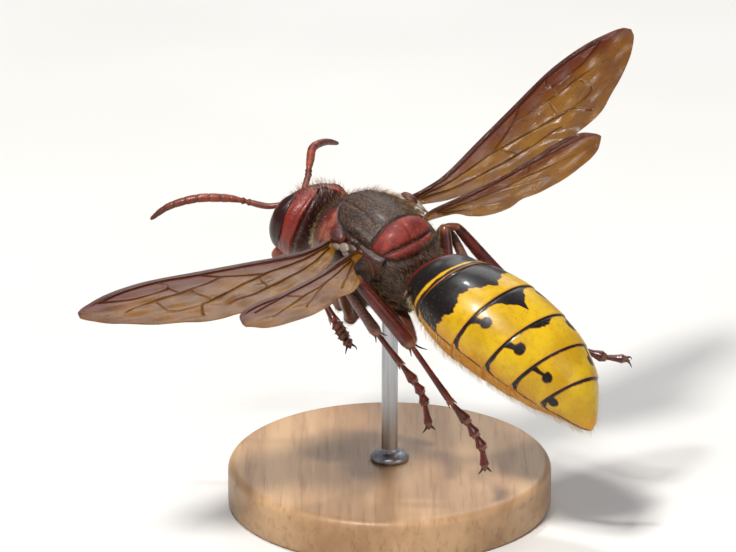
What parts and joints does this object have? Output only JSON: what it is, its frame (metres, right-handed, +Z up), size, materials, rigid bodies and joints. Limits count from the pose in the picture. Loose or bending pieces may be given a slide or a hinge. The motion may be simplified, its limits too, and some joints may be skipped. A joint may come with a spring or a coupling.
{
  "type": "european hornet model on a display stand",
  "caption": "Life-size European hornet in flight: wings spread, legs trailing, banded abdomen curved down, held by a short rod on a flat round base.",
  "frame": {"origin": "centre of the underside of the round base", "axes": "+Z up; the rod stands on the Z axis and the hornet's head points towards -X and +Y"},
  "size_m": [0.0367, 0.0303, 0.0298],
  "materials": {
    "red_brown": "glossy chestnut chitin",
    "dark_red": "glossy dark red-brown chitin",
    "black_brown": "satin black-brown chitin with fine hair",
    "yellow": "glossy yellow chitin with black-brown marks",
    "eye": "dark brown, very finely faceted",
    "membrane": "thin amber membrane with brown veins",
    "stand_base": "pale oiled wood",
    "stand_rod": "brushed"
  },
  "bodies": {
    "root": {"head": "red_brown", "eye_left": "eye", "eye_right": "eye", "mandible_left": "dark_red", "mandible_right": "dark_red", "antenna_scape_left": "red_brown", "antenna_scape_right": "red_brown", "antenna_feeler_left": "dark_red", "antenna_feeler_right": "dark_red", "pronotum": "red_brown", "mesoscutum": "black_brown", "scutellum": "red_brown", "metanotum": "red_brown", "mesothorax": "dark_red", "propodeum": "dark_red", "tegula_left": "red_brown", "tegula_right": "red_brown", "gaster_1": "black_brown", "gaster_2": "yellow", "gaster_3": "yellow", "gaster_4": "yellow", "gaster_5": "yellow", "gaster_6": "yellow", "forewing_left": "membrane", "forewing_right": "membrane", "hindwing_left": "membrane", "hindwing_right": "membrane", "coxa_left_front": "dark_red", "femur_left_front": "dark_red", "tibia_left_front": "dark_red", "tarsus_left_front": "dark_red", "coxa_left_middle": "dark_red", "femur_left_middle": "dark_red", "tibia_left_middle": "dark_red", "tarsus_left_middle": "dark_red", "coxa_left_hind": "dark_red", "femur_left_hind": "dark_red", "tibia_left_hind": "dark_red", "tarsus_left_hind": "dark_red", "coxa_right_front": "dark_red", "femur_right_front": "dark_red", "tibia_right_front": "dark_red", "tarsus_right_front": "dark_red", "coxa_right_middle": "dark_red", "femur_right_middle": "dark_red", "tibia_right_middle": "dark_red", "tarsus_right_middle": "dark_red", "coxa_right_hind": "dark_red", "femur_right_hind": "dark_red", "tibia_right_hind": "dark_red", "tarsus_right_hind": "dark_red", "stand_base": "stand_base", "stand_rod": "stand_rod"}
  },
  "joints": []
}
